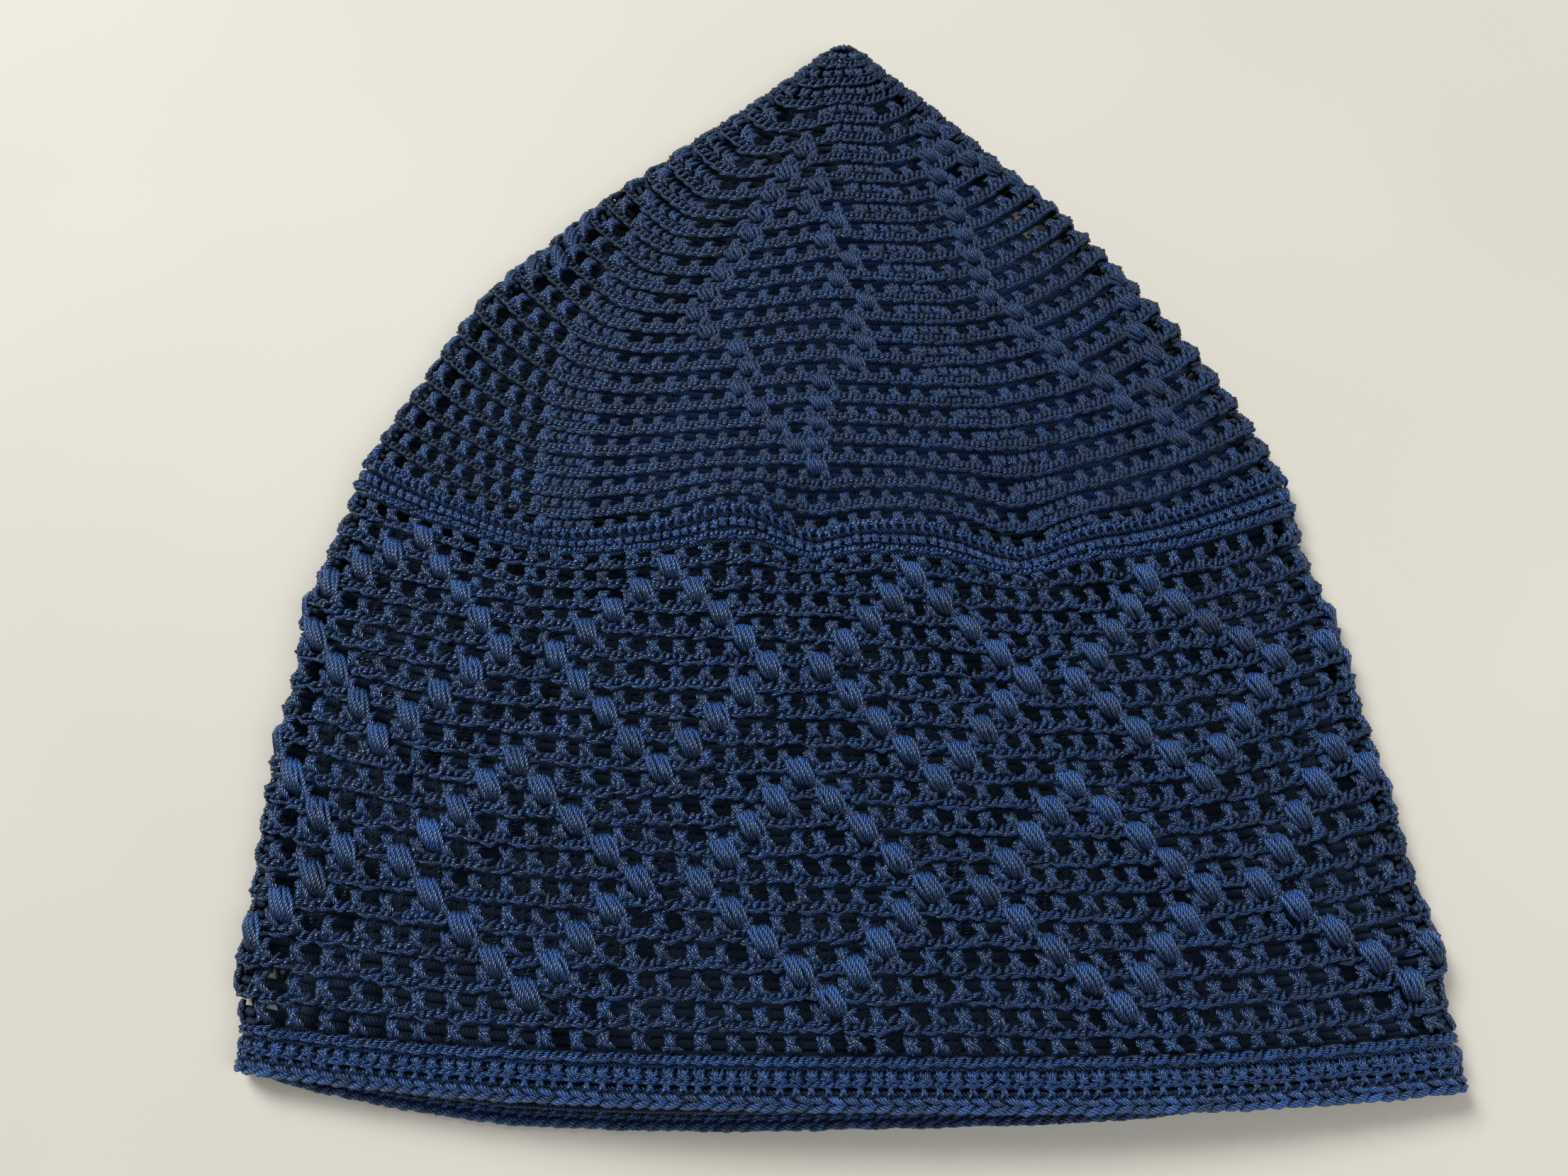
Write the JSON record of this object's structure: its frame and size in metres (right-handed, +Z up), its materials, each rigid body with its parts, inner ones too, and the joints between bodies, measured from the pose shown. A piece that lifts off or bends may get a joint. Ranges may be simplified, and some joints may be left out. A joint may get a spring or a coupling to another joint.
{
  "type": "crochet kufi",
  "caption": "Brimless crocheted cap lying folded flat: open mesh side with a dense rim band, a raised welt and a tapering mesh crown, hollow for a head.",
  "frame": {"origin": "middle of the lying cap's bounding box, on the surface that the cap lies on", "axes": "+Z up from the surface, +Y from the mouth to the tip of the crown, +X to the right seen from above with the mouth nearest"},
  "size_m": [0.2394, 0.2495, 0.0224],
  "materials": {
    "mesh_crochet": "navy blue crochet thread, open mesh with raised puff stitches, soft sheen",
    "dense_crochet": "navy blue crochet thread in dense upright stitches, soft sheen",
    "braided_edge": "navy blue crochet thread in a braided chain edge, soft sheen"
  },
  "bodies": {
    "root": {"edge_cord": "braided_edge", "band": "dense_crochet", "side_wall": "mesh_crochet", "ridge_welt": "dense_crochet", "crown": "mesh_crochet"}
  },
  "joints": []
}
